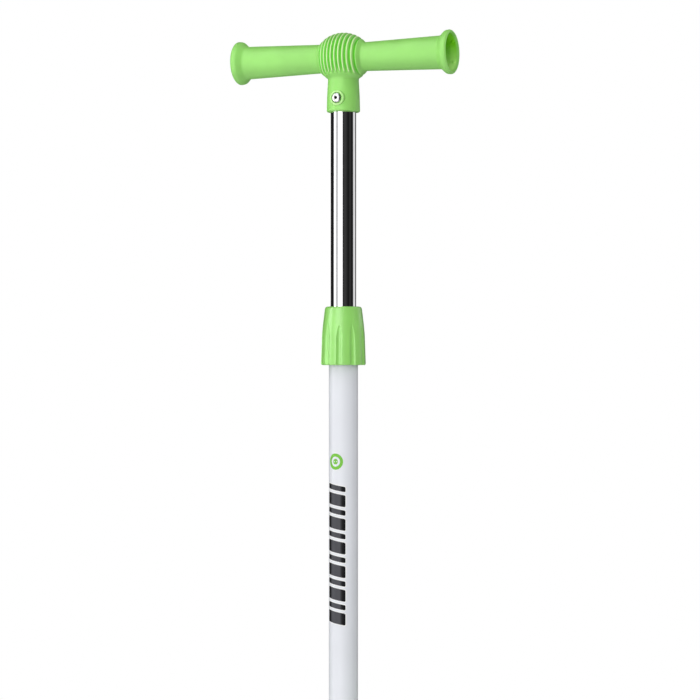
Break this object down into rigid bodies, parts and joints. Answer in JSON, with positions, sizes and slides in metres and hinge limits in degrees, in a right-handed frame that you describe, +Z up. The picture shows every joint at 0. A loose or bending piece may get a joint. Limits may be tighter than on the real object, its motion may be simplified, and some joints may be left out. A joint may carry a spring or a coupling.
{
  "type": "pogo stick",
  "caption": "Child's pogo stick: telescoping T handle with a twist-lock collar, folding foot pedals, an exposed coil spring and a rubber foot.",
  "frame": {"origin": "centre of the rubber foot's sole, on the ground", "axes": "+Z up along the stick, +X along the handle bar and the right pedal, -Y is the front, where the handle's bolt head is"},
  "size_m": [0.296, 0.0605, 1],
  "materials": {
    "green_plastic": "moulded satin lime green",
    "green_rubber": "moulded matte lime green",
    "chrome": "bright plated",
    "zinc_steel": "zinc plated",
    "spring_steel": "zinc plated drawn wire",
    "white_paint": "white powder coat with printed decoration",
    "black_nylon": "moulded satin black",
    "black_rubber": "moulded matte black"
  },
  "bodies": {
    "frame": {"main_tube": "white_paint", "threaded_ferrule": "zinc_steel", "collet": "black_nylon", "foot_bracket": "white_paint", "guide_bush": "black_nylon", "spring_seat": "zinc_steel", "rebound_bumper": "black_rubber", "spring": "spring_steel", "pivot_bolt_left": "zinc_steel", "pivot_bolt_right": "zinc_steel", "pivot_nut_left": "zinc_steel", "pivot_nut_right": "zinc_steel", "pivot_sleeve_left": "zinc_steel", "pivot_sleeve_right": "zinc_steel"},
    "handle": {"handle_tee": "green_plastic", "handle_bolt": "zinc_steel", "handle_nut": "zinc_steel", "stem_tube": "chrome", "stem_end_plug": "black_nylon"},
    "collar": {"lock_collar": "green_plastic"},
    "plunger": {"plunger_tube": "chrome", "plunger_head": "black_nylon", "head_pin": "zinc_steel", "spring_cup": "zinc_steel", "cup_pin": "zinc_steel", "tip_washer": "zinc_steel", "foot_tip": "black_rubber"},
    "pedal_right": {"pedal_right": "white_paint", "pedal_pad_right": "green_rubber"},
    "pedal_left": {"pedal_left": "white_paint", "pedal_pad_left": "green_rubber"}
  },
  "joints": [
    {"name": "handle_height", "type": "slide", "parent": "frame", "child": "handle", "axis": [0, 0, 1], "range_m": [-0.16, 0]},
    {"name": "collar_twist", "type": "hinge", "parent": "frame", "child": "collar", "pos_m": [0, 0, 0.7], "axis": [0, 0, 1], "range_deg": [0, 180]},
    {"name": "plunger_stroke", "type": "slide", "parent": "frame", "child": "plunger", "axis": [0, 0, 1], "range_m": [0, 0.085], "stiffness_N_per_m": 9600, "springref_m": -0.02, "deforming": ["spring"]},
    {"name": "pedal_fold_right", "type": "hinge", "parent": "frame", "child": "pedal_right", "pos_m": [0.042, 0, 0.283], "axis": [0, -1, 0], "range_deg": [0, 90]},
    {"name": "pedal_fold_left", "type": "hinge", "parent": "frame", "child": "pedal_left", "pos_m": [-0.042, 0, 0.283], "axis": [0, 1, 0], "range_deg": [0, 90]}
  ]
}
